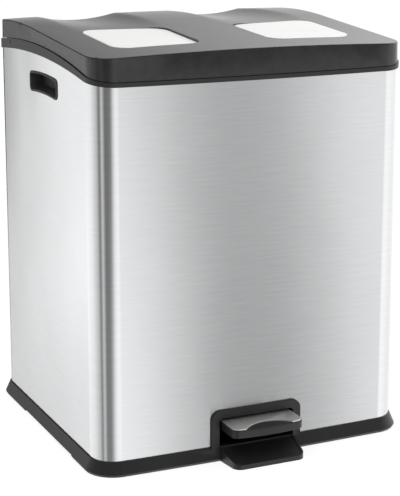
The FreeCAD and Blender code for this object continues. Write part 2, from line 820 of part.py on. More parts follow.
def liner_slab(z_low, z_high, inset):
    """A slab between two heights over the liner's sloping underside, inside the lid."""
    rise = math.tan(math.radians(liner_slope))
    y0 = -far_y
    y1 = far_y
    a = V(0, y0, liner_z(y0) + z_low)
    b = V(0, y1, liner_z(y1) + z_low)
    c = V(0, y1, liner_z(y1) + z_high)
    d = V(0, y0, liner_z(y0) + z_high)
    slab = side_prism([line(a, b), line(b, c), line(c, d), line(d, a)], -wide, wide)
    return slab.common(plan_block(lid_proud - lid_draft - moulding - inset, seam_front_z, high_z))


def make_lid_liner():
    """Flat inner skin of the lid, on the lid's bosses."""
    slab = liner_slab(0.0, liner_thickness, fit_gap)
    slab = slab.common(box(-wide, wide, -far_y, liner_back_y, 0, high_z))
    bores = crank_screw_bores()
    for x, y in liner_boss_places():
        low = liner_z(y) - liner_thickness
        bores.append(rod_z(screw_radius + play, x, y, low, low + 3 * liner_thickness))
    return slab.cut(bores)


liner_back_y = hinge_y - knuckle_radius - liner_back_gap


def screw_tip_z(x, y):
    """Top of a liner screw: its full length, or less where the lid is shallow."""
    return min(liner_z(y) + liner_screw_length, land_z(x, y) - moulding)


def make_liner_screws():
    screws = []
    for x, y in liner_boss_places():
        z = liner_z(y) - rest_gap
        screws.append(rod_z(screw_head_radius, x, y, z - screw_head, z).fuse(
            rod_z(screw_radius, x, y, z, screw_tip_z(x, y))))
    return Part.makeCompound(screws)


def make_lid_panel():
    """White inset panel of the right-hand well."""
    panel = panel_block(0.0, -panel_thickness, 0.0)
    top = max(panel.Faces, key=lambda f: f.CenterOfMass.z if abs(f.normalAt(0, 0).z) > 0.9 else 0.0)
    return panel.makeFillet(panel_edge_radius, top.Edges)


# ---------------------------------------------------------------- hinge and crank
def hinge_pin(sign):
    ends = [x for span in lid_knuckle_spans(sign * hinge_x) for x in span]
    return rod_x(hinge_pin_radius, min(ends), max(ends), hinge_y, hinge_z)


def make_lid_crank():
    """Moulded arm under the lid's back that carries the crank pin."""
    half = crank_width / 2
    top = liner_z(crank_pin_y)
    root_front = crank_pin_y - crank_root
    root_back = liner_back_y - crank_back_inset
    neck_front = V(0, crank_pin_y - crank_neck, crank_pin_z)
    neck_back = V(0, crank_pin_y + crank_neck, crank_pin_z)
    eye = rod_x(crank_pin_radius + crank_eye_wall, -half, half, crank_pin_y, crank_pin_z)
    web = side_prism([
        line(neck_front, neck_back),
        line(neck_back, V(0, root_back, top)),
        line(V(0, root_back, top), V(0, root_front, top)),
        line(V(0, root_front, top), neck_front),
    ], -half, half)
    flange = box(-crank_flange_half, crank_flange_half, root_front, root_back, 0.0, high_z)
    flange = flange.common(liner_slab(-crank_flange_thickness, 0.0, 0.0))
    web = web.cut(liner_slab(0.0, crank_root, 0.0))
    crank = flange.fuse([web, eye]).cut(rod_x(crank_pin_radius + play, -half, half, crank_pin_y, crank_pin_z))
    return crank.cut(crank_screw_bores()).removeSplitter()


def crank_screw_y():
    return (crank_pin_y - crank_root + liner_back_y - crank_back_inset) / 2


def crank_screw_bores():
    low = liner_z(crank_screw_y()) - crank_flange_thickness
    return [rod_z(screw_radius + play, x, crank_screw_y(), low - crank_screw_length, low + crank_screw_length)
            for x in (-crank_screw_x, crank_screw_x)]


def make_crank_screws():
    """Two screws that hold the crank's flange up against the liner."""
    low = liner_z(crank_screw_y()) - crank_flange_thickness - rest_gap
    screws = []
    for x in (-crank_screw_x, crank_screw_x):
        screws.append(rod_z(screw_head_radius, x, crank_screw_y(), low - screw_head, low).fuse(
            rod_z(screw_radius, x, crank_screw_y(), low, low + crank_screw_length)))
    return Part.makeCompound(screws)


def make_crank_pin():
    reach = crank_width / 2 + yoke_gap + yoke_cheek
    return rod_x(crank_pin_radius, -reach, reach, crank_pin_y, crank_pin_z)


# ---------------------------------------------------------------- rod
def make_rod_yoke():
    """Fork on top of the rod; its two slots let the crank pin move fore and aft."""
    inner = crank_width / 2 + yoke_gap
    outer = inner + yoke_cheek
    slot_half = crank_pin_radius + rod_slot_play
    y0 = crank_pin_y - crank_swing - slot_half - yoke_wall
    y1 = crank_pin_y + slot_half + yoke_wall
    z0 = yoke_base_z
    z1 = crank_pin_z + slot_half + yoke_wall
    block = box(-outer, outer, y0, y1, z0, z1)
    gap_z = crank_pin_z - crank_pin_radius - crank_eye_wall - yoke_floor_gap
    gap = box(-inner, inner, y0, y1, gap_z, z1)
    slot = box(-outer, outer, crank_pin_y - crank_swing, crank_pin_y, crank_pin_z - slot_half,
               crank_pin_z + slot_half)
    slot = slot.fuse([rod_x(slot_half, -outer, outer, crank_pin_y, crank_pin_z),
                      rod_x(slot_half, -outer, outer, crank_pin_y - crank_swing, crank_pin_z)])
    socket = rod_z(rod_radius, 0, rod_y, z0, z0 + rod_socket)
    return block.cut([gap, slot, socket]).removeSplitter()


def foot_low_z():
    return lever_z - lever_pin_radius - rod_slot_play / 2 - foot_low_wall


def foot_high_z():
    return lever_z + lever_pin_radius + rod_slot_play / 2 + foot_high_wall


def make_rod_foot():
    """Block on the rod's lower end, forked round the lever pin."""
    slot_half = lever_pin_radius + rod_slot_play / 2
    front = rod_y - foot_slot_shift
    back = rod_y + foot_slot_shift
    block = box(-foot_half, foot_half, rod_y - foot_half, rod_y + foot_half, foot_low_z(), foot_high_z())
    slot = box(-foot_half, foot_half, front, back, lever_z - slot_half, lever_z + slot_half)
    slot = slot.fuse([rod_x(slot_half, -foot_half, foot_half, y, lever_z) for y in (front, back)])
    socket = rod_z(rod_radius, 0, rod_y, foot_high_z() - rod_socket, foot_high_z())
    return block.cut([slot, socket]).removeSplitter()


def make_push_rod():
    return rod_z(rod_radius, 0, rod_y, foot_high_z() - rod_socket, yoke_base_z + rod_socket)


def make_bush(z_low, thickness):
    """Flanged plastic bush that guides the rod through a plate."""
    low = z_low - bush_flange_height
    high = z_low + thickness
    sleeve = rod_z(bush_radius(), 0, rod_y, z_low, high)
    flange = rod_z(bush_radius() + bush_flange, 0, rod_y, low, z_low)
    return sleeve.fuse(flange).cut(rod_z(rod_radius + play, 0, rod_y, low, high))


# ---------------------------------------------------------------- lever
def make_pedal_lever():
    """Pressed steel channel from the pedal, over the axle, to the rod."""
    half = lever_width / 2
    front = front_y - pedal_reach + pedal_wall + lever_nose_gap
    back = rod_y - lever_ear_length
    z0 = lever_z - lever_height / 2
    z1 = lever_z + lever_height / 2
    channel = box(-half, half, front, back, z0, z1)
    channel = channel.cut(box(-half + lever_wall, half - lever_wall, front, back, z0, z1 - lever_wall))
    ears = []
    for sign in (-1, 1):
        x0 = min(sign * half, sign * (half - lever_wall))
        ear = box(x0, x0 + lever_wall, back, rod_y, z0, z1)
        ears.append(ear)
        ears.append(rod_x(lever_height / 2, x0, x0 + lever_wall, rod_y, lever_z))
    channel = channel.fuse(ears)
    channel = channel.cut([
        rod_x(lever_pin_radius + play, -half, half, rod_y, lever_z),
        rod_x(axle_radius + play, -half, half, axle_y, axle_height()),
    ])
    holes = [rod_z(screw_radius + play, x, y, z0, z1) for x, y in rivet_places()]
    return channel.cut(holes).removeSplitter()


def rivet_places():
    return [(x, front_y - rivet_set_out) for x in (-rivet_x, rivet_x)]


def axle_height():
    return lever_z - axle_drop


def axle_half_length():
    return lever_width / 2 + bracket_gap + bracket_width


def bracket_floor_z():
    return base_floor_z + moulding


def make_axle_bracket():
    """Right-hand bearing block for the axle, screwed to the tray's floor."""
    x0 = lever_width / 2 + bracket_gap
    x1 = x0 + bracket_width
    y0 = axle_y - bracket_half_depth
    y1 = axle_y + bracket_half_depth
    floor = bracket_floor_z()
    foot_top = floor + bracket_foot_height
    block = box(x0, x1, y0, y1, floor, axle_height())
    block = block.fuse([rod_x(bracket_half_depth, x0, x1, axle_y, axle_height()),
                        box(x0, x1 + bracket_foot, y0, y1, floor, foot_top)])
    block = block.cut(rod_x(axle_radius + play, x0, x1, axle_y, axle_height()))
    bore = rod_z(screw_radius + play, bracket_screw_x(), axle_y, floor, foot_top)
    return block.cut(bore).removeSplitter()


def bracket_screw_x():
    return axle_half_length() + bracket_foot / 2


def make_bracket_screws():
    under_head = bracket_floor_z() + bracket_foot_height
    x = bracket_screw_x()
    screw = rod_z(screw_head_radius, x, axle_y, under_head, under_head + screw_head)
    screw = screw.fuse(rod_z(screw_radius, x, axle_y, under_head - bracket_screw_length, under_head))
    return Part.makeCompound([screw, mirror_x(screw)])


def pedal_plan(inset):
    """Plan of the pedal pad: nearly square, with a bowed front and round corners."""
    half = pedal_half_width - inset
    y1 = front_y + pedal_back_inset
    y0 = front_y - pedal_reach + pedal_bulge + inset
    wire = Part.Wire([
        line(V(-half, y1, 0), V(-half, y0, 0)),
        arc(V(-half, y0, 0), V(0, y0 - pedal_bulge, 0), V(half, y0, 0)),
        line(V(half, y0, 0), V(half, y1, 0)),
        line(V(half, y1, 0), V(-half, y1, 0)),
    ])
    block = Part.Face(wire).extrude(V(0, 0, 1))
    corners = [e for e in edges_along(block, upward) if e.CenterOfMass.y < front_y - pick]
    block = block.makeFillet(pedal_corner - inset / 2, corners)
    return min(block.Faces, key=lambda f: f.CenterOfMass.z)


def pedal_block(inset, z0, z1):
    face = pedal_plan(inset)
    block = face.extrude(V(0, 0, z1 - z0))
    block.translate(V(0, 0, z0))
    return block


def make_pedal_pad():
    """Hollow black pad of the pedal, open underneath."""
    low = pedal_top_z - pedal_depth
    pad = pedal_block(0.0, low, pedal_top_z)
    rims = [e for e in pad.Edges if e.BoundBox.ZMax < low + near or e.BoundBox.ZMin > pedal_top_z - near]
    pad = pad.makeFillet(pedal_edge_radius, [e for e in rims if is_before_pedal_back(e)])
    hollow = pedal_block(pedal_wall, low, pedal_top_z - plate_seat())
    pad = pad.cut(hollow)
    mouth_half = lever_width / 2 + lever_side_gap
    mouth = box(-mouth_half, mouth_half, front_y - pedal_mouth_reach, front_y + margin, 0,
                lever_z + lever_height / 2)
    pad = pad.cut(mouth)
    holes = [rod_z(screw_radius + play, x, y, low, pedal_top_z) for x, y in rivet_places()]
    return pad.cut(holes).removeSplitter()


def is_before_pedal_back(edge):
    """True for an edge that isn't on the pedal's straight back."""
    return edge.CenterOfMass.y < front_y + pedal_back_inset - pick / 2


def plate_seat():
    """Thickness of the pad's top, down to the lever's upper face."""
    return pedal_top_z - (lever_z + lever_height / 2)


def make_pedal_plate():
    """Steel tread plate; a wide arc is cut from its front edge."""
    plate = pedal_block(plate_side_inset, pedal_top_z, pedal_top_z + plate_thickness)
    y_front = front_y - pedal_reach + plate_side_inset
    chord = plate_arc_half
    depth = plate_arc_depth
    radius = (chord ** 2 + depth ** 2) / (2 * depth)
    bite = rod_z(radius, 0, y_front + depth - radius, pedal_top_z, pedal_top_z + plate_thickness)
    plate = plate.cut(bite)
    top = max(plate.Faces, key=lambda f: f.CenterOfMass.z)
    return plate.makeFillet(plate_edge_radius, [e for e in top.Edges if is_before_pedal_back(e)])


def make_pedal_rivets():
    rivets = []
    for x, y in rivet_places():
        low = lever_z + lever_height / 2 - lever_wall
        rivets.append(rod_z(screw_radius, x, y, low, pedal_top_z).fuse(
            rod_z(screw_head_radius, x, y, low - screw_head, low)))
    return Part.makeCompound(rivets)


# ---------------------------------------------------------------- deck, duct, buckets
def make_deck():
    """Inner floor over the lever, screwed to the tray's posts."""
    deck = plan_block(-steel - deck_margin, deck_z, deck_top_z)
    holes = [rod_z(screw_radius + play, x, y, deck_z, deck_top_z)
             for x in (-half_width + post_inset, half_width - post_inset)
             for y in (-half_depth + post_inset, half_depth - post_inset)]
    holes.append(rod_z(bush_radius() + play, 0, rod_y, deck_z, deck_top_z))
    return deck.cut(holes)


def make_deck_screws():
    screws = []
    for x in (-half_width + post_inset, half_width - post_inset):
        for y in (-half_depth + post_inset, half_depth - post_inset):
            screws.append(rod_z(screw_head_radius, x, y, deck_top_z, deck_top_z + screw_head).fuse(
                rod_z(screw_radius, x, y, deck_top_z - deck_screw_length, deck_top_z)))
    return Part.makeCompound(screws)


def make_rod_duct():
    """Upright channel that keeps the rod clear of the buckets."""
    half = duct_width / 2
    outer = box(-half, half, duct_front_y, duct_back_y, deck_top_z, ledge_z)
    inside = half - duct_wall
    inner = box(-inside, inside, duct_front_y + duct_wall, duct_back_y, deck_top_z, ledge_z)
    return outer.cut(inner)


def bucket_section(inset, z):
    """Outline of the bucket at height z, drawn in from its opening in the ledge."""
    step = bucket_slack + inset
    radius = bucket_corner - min(inset, bucket_corner / 2)
    face = rounded_plan(bucket_inner_x + step, bucket_outer_x - step, bucket_front_y + step,
                        bucket_back_y - step, radius, z)
    return face.OuterWire


def rim_z():
    return ledge_top_z + rest_gap


def make_bucket():
    """Right-hand bucket: tapered tub that hangs by its rim on the collar's ledge."""
    top = rim_z() + bucket_rim_thickness
    floor_z = bucket_floor_z + bucket_wall
    low_outer = bucket_section(bucket_taper, bucket_floor_z)
    low_inner = bucket_section(bucket_taper + bucket_wall, floor_z)
    outer = Part.makeLoft([low_outer, bucket_section(0.0, top)], True, True)
    inner = Part.makeLoft([low_inner, bucket_section(bucket_wall, top)], True, True)
    rim = Part.Face(bucket_section(-bucket_rim, rim_z())).extrude(V(0, 0, bucket_rim_thickness))
    tub = outer.fuse(rim).cut(inner)
    ears = []
    for x in bail_pivots():
        ear = box(x - ear_half, x + ear_half, bail_pivot_y - ear_half_depth, bail_pivot_y + ear_half_depth,
                  rim_z(), bail_z() + ear_over)
        ears.append(ear.cut(rod_x(bail_radius + play, x - ear_half, x + ear_half, bail_pivot_y, bail_z())))
    return tub.fuse(ears).removeSplitter()


def bail_pivots():
    """Middles of the two rim ears that hold the bail."""
    return (bucket_inner_x + ear_inset, bucket_outer_x - ear_inset)


def bail_z():
    return rim_z() + bucket_rim_thickness + bail_rise


def make_bail():
    """Wire bail, folded back along the rim: two legs and a cross bar."""
    x0, x1 = bail_pivots()
    small = bail_small_bend
    leg0 = x0 + ear_half + rest_gap + small
    leg1 = x1 - ear_half - rest_gap - small
    bend = bail_bend
    y0 = bail_pivot_y
    y1 = bail_pivot_y + bail_reach
    z = bail_z()
    s = bend * (1 - math.sqrt(0.5))
    t = small * (1 - math.sqrt(0.5))
    path = Part.Wire([
        line(V(x0 - ear_half, y0, z), V(leg0 - small, y0, z)),
        arc(V(leg0 - small, y0, z), V(leg0 - t, y0 + t, z), V(leg0, y0 + small, z)),
        line(V(leg0, y0 + small, z), V(leg0, y1 - bend, z)),
        arc(V(leg0, y1 - bend, z), V(leg0 + s, y1 - s, z), V(leg0 + bend, y1, z)),
        line(V(leg0 + bend, y1, z), V(leg1 - bend, y1, z)),
        arc(V(leg1 - bend, y1, z), V(leg1 - s, y1 - s, z), V(leg1, y1 - bend, z)),
        line(V(leg1, y1 - bend, z), V(leg1, y0 + small, z)),
        arc(V(leg1, y0 + small, z), V(leg1 + t, y0 + t, z), V(leg1 + small, y0, z)),
        line(V(leg1 + small, y0, z), V(x1 + ear_half, y0, z)),
    ])
    ring = Part.Wire([Part.Circle(V(x0 - ear_half, y0, z), V(1, 0, 0), bail_radius).toShape()])
    return path.makePipeShell([ring], True, False)


def make_bail_grip():
    """Plastic sleeve on the bail's cross bar."""
    x0, x1 = bail_pivots()
    mid = (x0 + x1) / 2
    y = bail_pivot_y + bail_reach
    sleeve = rod_x(grip_radius, mid - grip_length / 2, mid + grip_length / 2, y, bail_z())
    rims = [e for e in sleeve.Edges if e.Closed and e.Length > pick]
    sleeve = sleeve.makeFillet(grip_edge_radius, rims)
    return sleeve.cut(rod_x(bail_radius + play, mid - grip_length / 2, mid + grip_length / 2, y, bail_z()))


# ---------------------------------------------------------------- all pieces
body_front, body_side, body_upper, body_back = make_body_sheets()
cup = make_handle_cup()
panel = make_lid_panel()
bracket = make_axle_bracket()
bucket = make_bucket()
bail = make_bail()
grip = make_bail_grip()

nodes = {
    "base_tray": make_base_tray(),
    "feet": make_feet(),
    "body_front": body_front,
    "body_side_right": body_side,
    "body_side_left": mirror_x(body_side),
    "body_upper_right": body_upper,
    "body_upper_left": mirror_x(body_upper),
    "body_back": body_back,
    "top_collar": make_collar(),
    "handle_cup_right": cup,
    "handle_cup_left": mirror_x(cup),
    "lid_shell": make_lid_shell(),
    "lid_liner": make_lid_liner(),
    "liner_screws": make_liner_screws(),
    "lid_panel_right": panel,
    "lid_panel_left": mirror_x(panel),
    "hinge_pin_left": hinge_pin(-1),
    "hinge_pin_right": hinge_pin(1),
    "lid_crank": make_lid_crank(),
    "crank_screws": make_crank_screws(),
    "crank_pin": make_crank_pin(),
    "rod_yoke": make_rod_yoke(),
    "push_rod": make_push_rod(),
    "rod_foot": make_rod_foot(),
    "bush_upper": make_bush(ledge_z, ledge_thickness),
    "bush_lower": make_bush(deck_z, deck_thickness),
    "lever_pin": rod_x(lever_pin_radius, -lever_width / 2, lever_width / 2, rod_y, lever_z),
    "pedal_lever": make_pedal_lever(),
    "pedal_axle": rod_x(axle_radius, -axle_half_length(), axle_half_length(), axle_y, axle_height()),
    "axle_bracket_right": bracket,
    "axle_bracket_left": mirror_x(bracket),
    "bracket_screws": make_bracket_screws(),
    "pedal_pad": make_pedal_pad(),
    "pedal_plate": make_pedal_plate(),
    "pedal_rivets": make_pedal_rivets(),
    "deck": make_deck(),
    "deck_screws": make_deck_screws(),
    "rod_duct": make_rod_duct(),
    "bucket_right": bucket,
    "bucket_left": mirror_x(bucket),
    "bail_right": bail,
    "bail_left": mirror_x(bail),
    "bail_grip_right": grip,
    "bail_grip_left": mirror_x(grip),
}

# The origin is under the middle of the whole bin, apron and skirt included.
origin_y = ((front_y - apron_reach) + (half_depth + skirt_flare)) / 2

os.makedirs("parts", exist_ok=True)
for name, shape in nodes.items():
    shape.translate(V(0, -origin_y, 0))
    shape.exportStep("parts/" + name + ".step")

print("hinge", round(hinge_y - origin_y, 3), round(hinge_z, 3))
print("axle", round(axle_y - origin_y, 3), round(axle_height(), 3))
print("rod travel", round(rod_travel, 3), "pedal angle", round(pedal_angle, 3))
print("bail pivot", round(bail_pivot_y - origin_y, 3), round(bail_z(), 3))
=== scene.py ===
import bpy
import bmesh
import json
import math
import numpy
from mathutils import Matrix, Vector
from mathutils.bvhtree import BVHTree


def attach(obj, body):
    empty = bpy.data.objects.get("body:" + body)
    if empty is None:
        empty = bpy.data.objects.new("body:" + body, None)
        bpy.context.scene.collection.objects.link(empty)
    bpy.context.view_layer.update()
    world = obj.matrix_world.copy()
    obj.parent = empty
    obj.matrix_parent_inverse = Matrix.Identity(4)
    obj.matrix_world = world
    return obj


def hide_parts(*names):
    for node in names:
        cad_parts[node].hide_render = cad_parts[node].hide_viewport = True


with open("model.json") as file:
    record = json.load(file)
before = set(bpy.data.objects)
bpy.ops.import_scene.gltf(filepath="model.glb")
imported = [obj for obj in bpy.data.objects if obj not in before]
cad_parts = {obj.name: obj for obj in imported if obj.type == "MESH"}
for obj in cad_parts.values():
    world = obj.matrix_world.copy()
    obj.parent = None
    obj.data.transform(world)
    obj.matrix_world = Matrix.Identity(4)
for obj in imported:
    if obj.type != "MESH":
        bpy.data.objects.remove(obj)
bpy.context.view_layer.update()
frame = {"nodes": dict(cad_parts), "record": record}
nodes = frame["nodes"]

# ------------------------------------------------------------ base tray
# One black polypropylene moulding: the flared skirt, the frame round the
# pedal's opening and the toe apron. It is injection moulded in a spark-eroded
# tool, so its faces have a fine even grain and its edges a small radius.


def linear(hex_colour):
    """An sRGB hex colour as the linear values that a shader takes."""
    channels = [int(hex_colour[i:i + 2], 16) / 255 for i in (0, 2, 4)]
    return [c / 12.92 if c <= 0.04045 else ((c + 0.055) / 1.055) ** 2.4 for c in channels] + [1.0]


def add_node(tree, kind, settings=(), links=()):
    """One shader node, with its settings and what feeds its sockets."""
    node = tree.nodes.new(kind)
    for name, value in dict(settings).items():
        if isinstance(name, int) or name in node.inputs:
            node.inputs[name].default_value = value
        else:
            setattr(node, name, value)
    for name, source in dict(links).items():
        tree.links.new(source, node.inputs[name])
    return node


def new_finish(name, colour, roughness, metallic=0.0, specular=0.5):
    """A material whose surface shader has its plain values set."""
    finish = bpy.data.materials.new(name)
    finish.use_nodes = True
    surface = finish.node_tree.nodes["Principled BSDF"]
    surface.inputs["Base Color"].default_value = linear(colour)
    surface.inputs["Roughness"].default_value = roughness
    surface.inputs["Metallic"].default_value = metallic
    surface.inputs["Specular IOR Level"].default_value = specular
    return finish, finish.node_tree, surface


def dress(names, finish):
    """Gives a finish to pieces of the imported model."""
    for name in names:
        for slot in nodes[name].material_slots:
            slot.material = finish


def bodies_of(name):
    """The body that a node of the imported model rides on."""
    return next(body for body, members in frame["record"]["behaviour"]["bodies"].items() if name in members)


def soften(name, finish, width, flat=0.4, cut=None):
    """Stands for a node with the same shape, its sharp edges broken by a small chamfer that shades round.

    Faces that meet within the flat angle, in degrees, are joined. With a cut size, faces that
    look up are cut into squares of that size."""
    source = nodes[name]
    mesh = source.data.copy()
    shape = bmesh.new()
    shape.from_mesh(mesh)
    bmesh.ops.remove_doubles(shape, verts=shape.verts, dist=1e-5)
    bmesh.ops.dissolve_limit(shape, angle_limit=math.radians(flat), verts=shape.verts, edges=shape.edges)
    for axis in (0, 1) if cut else ():
        reach = [corner.co[axis] for corner in shape.verts]
        for step in range(1, int((max(reach) - min(reach)) / cut) + 1):
            upper = [face for face in shape.faces if face.normal.z > 0.9]
            sides = list(dict.fromkeys(side for face in upper for side in face.edges))
            ends = list(dict.fromkeys(end for face in upper for end in face.verts))
            at, across = [0.0] * 3, [0.0] * 3
            at[axis] = min(reach) + step * cut
            across[axis] = 1.0
            bmesh.ops.bisect_plane(shape, geom=upper + sides + ends, plane_co=at, plane_no=across)
    shape.to_mesh(mesh)
    shape.free()
    piece = bpy.data.objects.new(name + "_moulded", mesh)
    bpy.context.scene.collection.objects.link(piece)
    edge = piece.modifiers.new("edge", "BEVEL")
    edge.width = width
    edge.segments = 1
    edge.limit_method = "ANGLE"
    edge.angle_limit = math.radians(30.0)
    shading = piece.modifiers.new("shading", "DATA_TRANSFER")
    shading.object = source
    shading.use_loop_data = True
    shading.data_types_loops = {"CUSTOM_NORMAL"}
    shading.loop_mapping = "POLYINTERP_NEAREST"
    bpy.context.view_layer.update()
    graph = bpy.context.evaluated_depsgraph_get()
    final = bpy.data.meshes.new_from_object(piece.evaluated_get(graph), preserve_all_data_layers=True, depsgraph=graph)
    piece.modifiers.clear()
    piece.data = final
    final.materials.clear()
    final.materials.append(finish)
    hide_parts(name)
    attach(piece, bodies_of(name))
    return piece


def add_grain(tree, surface, size_mm, depth_mm, strength, colours, spread_mm=60.0):
    """Moulded grain as relief, and a faint cloudiness of the colour."""
    place = add_node(tree, "ShaderNodeTexCoord")
    grain = add_node(tree, "ShaderNodeTexNoise", {"Scale": 1000.0 / size_mm, "Detail": 2.0, "Roughness": 0.6},
                     {"Vector": place.outputs["Object"]})
    relief = add_node(tree, "ShaderNodeBump", {"Strength": strength, "Distance": depth_mm / 1000.0},
                      {"Height": grain.outputs["Fac"]})
    tree.links.new(relief.outputs["Normal"], surface.inputs["Normal"])
    cloud = add_node(tree, "ShaderNodeTexNoise", {"Scale": 1000.0 / spread_mm, "Detail": 4.0},
                     {"Vector": place.outputs["Object"]})
    tint = add_node(tree, "ShaderNodeValToRGB", {}, {"Fac": cloud.outputs["Fac"]})
    for stop, position, colour in zip(tint.color_ramp.elements, (0.3, 0.7), colours):
        stop.position = position
        stop.color = linear(colour)
    tree.links.new(tint.outputs["Color"], surface.inputs["Base Color"])
    return grain


# Black polypropylene, moulded: a dark, slightly cool grey-black with a soft
# gloss that turns light where the eye grazes it. The real grain is 0.2 mm;
# it is drawn 0.8 mm so that it shows.
black_polypropylene, tree, surface = new_finish("black_moulded_polypropylene", "202022", 0.42, specular=0.45)
add_grain(tree, surface, 0.8, 0.03, 0.35, ("1d1d1f", "242426"))
soften("base_tray", black_polypropylene, 0.0006)

# ------------------------------------------------------------ feet
# Four round rubber pads pressed into the underside of the tray, so that the
# bin stands still when the pedal is trodden on.

# Moulded rubber: matt, and a little warmer than the tray. Its grain of 0.3 mm is
# drawn 1 mm.
foot_rubber, tree, surface = new_finish("moulded_black_rubber", "242321", 0.8, specular=0.3)
add_grain(tree, surface, 1.0, 0.05, 0.4, ("201f1e", "292826"))
dress(["feet"], foot_rubber)

# ------------------------------------------------------------ body
# A wrap of 0.6 mm stainless steel, its front, sides and back welded edge to
# edge and brushed round the body after that, so that the welds don't show.

# Brushed stainless steel: the brush lines run level round the body, so every
# reflection is drawn out into an upright streak. The real lines are 0.1 mm
# apart; they are drawn 2.4 mm apart so that they show.
brushed_steel, tree, surface = new_finish("brushed_stainless_steel", "d8d9da", 0.16, metallic=1.0)
surface.inputs["Anisotropic"].default_value = 0.95
surface.inputs["Anisotropic Rotation"].default_value = 0.25
place = add_node(tree, "ShaderNodeTexCoord")
along = add_node(tree, "ShaderNodeMapping", {"Scale": (20.0, 20.0, 420.0)}, {"Vector": place.outputs["Object"]})
lines = add_node(tree, "ShaderNodeTexNoise", {"Scale": 1.0, "Detail": 3.0}, {"Vector": along.outputs["Vector"]})
shade = add_node(tree, "ShaderNodeValToRGB", {}, {"Fac": lines.outputs["Fac"]})
shade.color_ramp.elements[0].position = 0.3
shade.color_ramp.elements[0].color = linear("d6d7d8")
shade.color_ramp.elements[1].position = 0.7
shade.color_ramp.elements[1].color = linear("dbdcdd")
tree.links.new(shade.outputs["Color"], surface.inputs["Base Color"])
gloss = add_node(tree, "ShaderNodeMapRange", {"From Min": 0.3, "From Max": 0.7, "To Min": 0.155, "To Max": 0.168},
                 {"Value": lines.outputs["Fac"]})
tree.links.new(gloss.outputs["Result"], surface.inputs["Roughness"])
# The thin sheet is never quite flat: shallow waves 150 mm long and under 0.2 mm deep.
waves = add_node(tree, "ShaderNodeTexNoise", {"Scale": 7.0, "Detail": 1.0}, {"Vector": place.outputs["Object"]})
buckle = add_node(tree, "ShaderNodeBump", {"Strength": 1.0, "Distance": 0.0003}, {"Height": waves.outputs["Fac"]})
tree.links.new(buckle.outputs["Normal"], surface.inputs["Normal"])
round_body = add_node(tree, "ShaderNodeTangent", {"direction_type": "RADIAL", "axis": "Z"})
tree.links.new(round_body.outputs["Tangent"], surface.inputs["Tangent"])
dress(["body_front", "body_side_right", "body_side_left", "body_upper_right", "body_upper_left", "body_back"],
      brushed_steel)

# ------------------------------------------------------------ side handles
# A hollow black cup clipped into each side of the steel, with a narrow bezel
# on the outside and a floor that rises inwards, for the fingertips.

# The same plastic from a coarsely etched tool, matt so that it doesn't slip.
# Its colour is painted lighter than the tray's, a soft dark grey: painted light
# that lifts the shade inside the hollow. The real grain is 0.4 mm; it is drawn 1.2 mm.
matt_polypropylene_painted_lighter, tree, surface = new_finish("coarse_grained_polypropylene_painted_lighter", "343436", 0.6, specular=0.45)
add_grain(tree, surface, 1.2, 0.06, 0.4, ("313133", "38383a"))
soften("handle_cup_left", matt_polypropylene_painted_lighter, 0.0003)
soften("handle_cup_right", matt_polypropylene_painted_lighter, 0.0003)

# ------------------------------------------------------------ collar
# The black moulded band on the steel's top edge. It hides the cut edge and
# carries the hinge's knuckles, and the buckets hang on its inner ledge.
soften("top_collar", black_polypropylene, 0.0002)

# ------------------------------------------------------------ lever train
# Pressed and turned steel parts, zinc plated after forming, with acetal
# bearings where they rub: they carry the pedal's travel up to the lid.

# Bright zinc on steel: a cool, slightly milky metal whose crystals show as
# soft patches 4 mm across.
zinc_plate, tree, surface = new_finish("zinc_plated_steel", "c3c7ca", 0.34, metallic=1.0)
place = add_node(tree, "ShaderNodeTexCoord")
crystals = add_node(tree, "ShaderNodeTexVoronoi", {"Scale": 250.0}, {"Vector": place.outputs["Object"]})
patch = add_node(tree, "ShaderNodeMapRange", {"To Min": 0.26, "To Max": 0.44}, {"Value": crystals.outputs["Distance"]})
tree.links.new(patch.outputs["Result"], surface.inputs["Roughness"])
dress(["hinge_pin_left", "hinge_pin_right", "pedal_axle", "lever_pin", "push_rod", "crank_pin", "bracket_screws",
       "deck_screws", "crank_screws", "liner_screws", "pedal_rivets", "pedal_lever", "bail_left", "bail_right"],
      zinc_plate)

# Natural acetal, moulded smooth: an ivory white with a waxy sheen, and a faint
# unevenness 1.5 mm across.
acetal, tree, surface = new_finish("natural_acetal", "e6e3da", 0.32)
add_grain(tree, surface, 1.5, 0.02, 0.2, ("e2dfd5", "eae7df"), 12.0)
dress(["rod_yoke", "rod_foot", "lid_crank", "bush_upper", "bush_lower"], acetal)
dress(["axle_bracket_left", "axle_bracket_right"], black_polypropylene)

# ------------------------------------------------------------ pedal
# A black pad riveted on the lever, with a tread plate of satin steel on top;
# a wide arc cut from the plate's front edge shows the pad.
soften("pedal_pad", black_polypropylene, 0.0006)

# Stainless steel, satin ground along its width: duller than the body, with a
# rim that the press leaves bright. The real scratches are 0.1 mm apart; they
# are drawn 0.7 mm apart.
satin_steel, tree, surface = new_finish("satin_ground_stainless", "ecebe8", 0.5, metallic=1.0)
place = add_node(tree, "ShaderNodeTexCoord")
across = add_node(tree, "ShaderNodeMapping", {"Scale": (30.0, 1500.0, 30.0)}, {"Vector": place.outputs["Object"]})
scratches = add_node(tree, "ShaderNodeTexNoise", {"Scale": 1.0, "Detail": 2.0}, {"Vector": across.outputs["Vector"]})
dull = add_node(tree, "ShaderNodeMapRange", {"To Min": 0.46, "To Max": 0.6}, {"Value": scratches.outputs["Fac"]})
tree.links.new(dull.outputs["Result"], surface.inputs["Roughness"])
soften("pedal_plate", satin_steel, 0.0004)

# ------------------------------------------------------------ inner floor
# A flat black plate screwed to the tray's four posts over the lever, and the
# upright duct that keeps the push rod clear of the buckets.
dress(["deck", "rod_duct"], black_polypropylene)

# ------------------------------------------------------------ buckets
# Two lift-out tubs that hang by their rims. Each has a zinc-plated wire bail
# with a black plastic sleeve.

